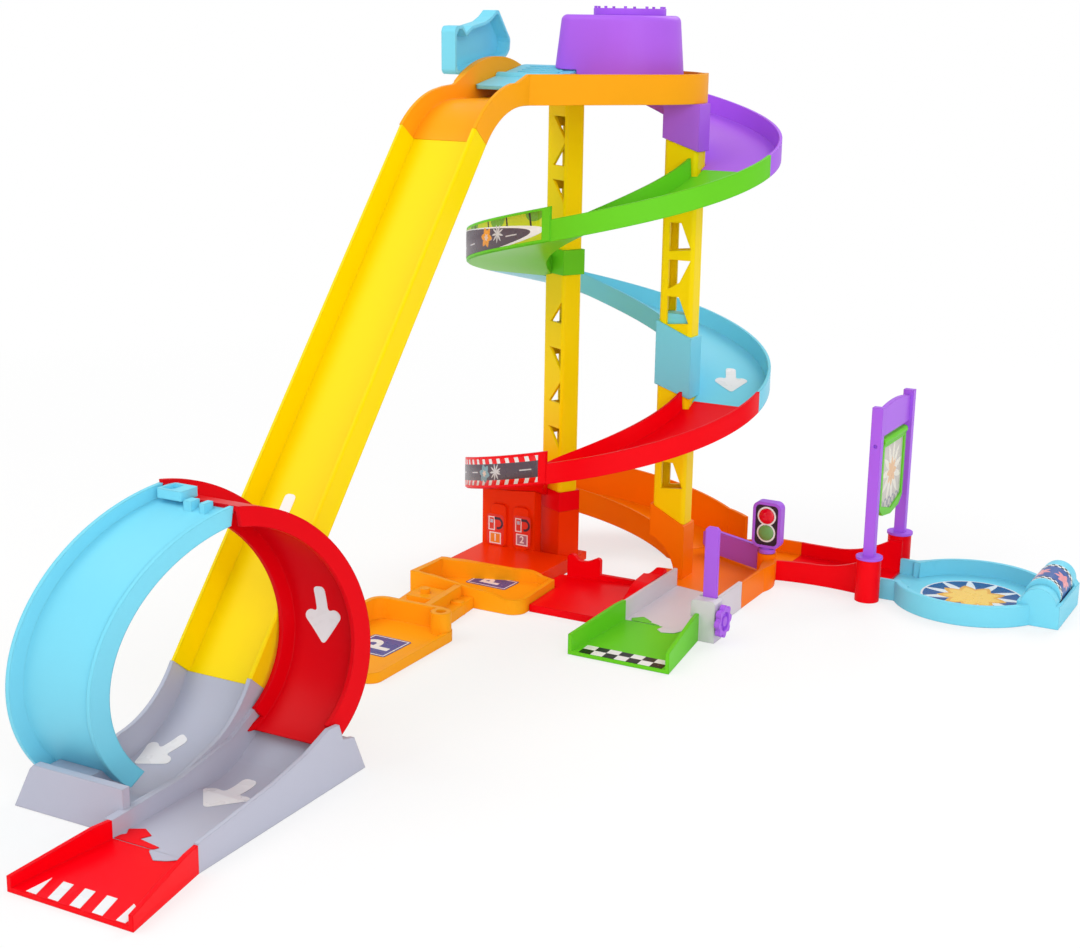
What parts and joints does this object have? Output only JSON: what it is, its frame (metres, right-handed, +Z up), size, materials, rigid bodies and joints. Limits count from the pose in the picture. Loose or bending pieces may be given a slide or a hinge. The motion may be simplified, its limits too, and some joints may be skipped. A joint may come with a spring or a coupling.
{
  "type": "toy race track",
  "caption": "Toy race track: a ramp into a leaning loop, and a tower whose spiral runs down past a diverter to a barrier lane and to a gated bridge with a round dish.",
  "frame": {"origin": "centre of the floor area the track covers, on the floor", "axes": "+Z up; +Y from the loop towards the tower, along the straight ramp; +X from the ramp towards the bridge and the dish"},
  "size_m": [0.4992, 0.826, 0.4718],
  "materials": {
    "orange": "satin",
    "purple": "satin",
    "light_blue": "satin",
    "green": "satin",
    "red": "satin",
    "yellow": "satin",
    "grey": "satin",
    "dark_face": "satin",
    "lamp_red": "satin",
    "lamp_green": "satin",
    "printed_board": "satin",
    "printed_drum": "satin"
  },
  "bodies": {
    "track": {"top_platform": "orange", "spiral_end_ramp": "orange", "station_block": "orange", "junction": "orange", "parking_pad_front": "orange", "pad_link": "orange", "parking_pad_side": "orange", "dome": "purple", "dome_crown": "purple", "spiral_top_run": "purple", "gate_frame": "purple", "spiral_middle_run": "light_blue", "dish": "light_blue", "loop_front_half": "light_blue", "loop_clip": "light_blue", "spiral_upper_run": "green", "finish_ramp": "green", "spiral_lower_run": "red", "bridge_track": "red", "plaza_plate": "red", "loop_rear_half": "red", "end_ramp": "red", "right_upper_column": "yellow", "right_lower_column": "yellow", "left_upper_column": "yellow", "left_lower_column": "yellow", "straight_ramp": "yellow", "finish_track": "grey", "loop_base": "grey"},
    "launcher": {"launch_plate": "light_blue", "launch_handle": "light_blue", "launch_pin": "light_blue"},
    "diverter": {"diverter_gate": "purple", "signal_housing": "purple", "signal_face": "dark_face", "red_lamp": "lamp_red", "green_lamp": "lamp_green"},
    "barrier_arm": {"barrier_arm": "purple", "barrier_arm_bevel": "purple", "barrier_pin": "purple"},
    "barrier_knob": {"barrier_knob": "purple", "barrier_knob_bevel": "purple"},
    "banner": {"banner_frame": "green", "banner_board": "printed_board", "banner_pin": "purple"},
    "roller": {"roller_drum": "printed_drum", "roller_axle": "light_blue"}
  },
  "joints": [
    {"name": "launcher_tilt", "type": "hinge", "parent": "track", "child": "launcher", "pos_m": [-0.1734, 0.202, 0.415], "axis": [1, 0, 0], "range_deg": [-21, 0]},
    {"name": "diverter_swing", "type": "hinge", "parent": "track", "child": "diverter", "pos_m": [0.0036, 0.309, 0.02], "axis": [0, 0, 1], "range_deg": [-22, 19]},
    {"name": "barrier_lift", "type": "hinge", "parent": "track", "child": "barrier_arm", "pos_m": [0.0176, 0.148, 0.017], "axis": [0, -1, 0], "range_deg": [0, 80]},
    {"name": "barrier_knob_turn", "type": "hinge", "parent": "track", "child": "barrier_knob", "pos_m": [0.0176, 0.148, 0.017], "axis": [-1, 0, 0], "range_deg": [0, 80]},
    {"name": "banner_swing", "type": "hinge", "parent": "track", "child": "banner", "pos_m": [0.0946, 0.348, 0.131], "axis": [0, 1, 0], "range_deg": [-60, 60]},
    {"name": "roller_spin", "type": "hinge", "parent": "track", "child": "roller", "pos_m": [0.2326, 0.346, 0.022], "axis": [0, 1, 0], "continuous": true}
  ],
  "couplings": [
    {"joint": "barrier_knob_turn", "follows": "barrier_lift", "ratio": 1}
  ]
}
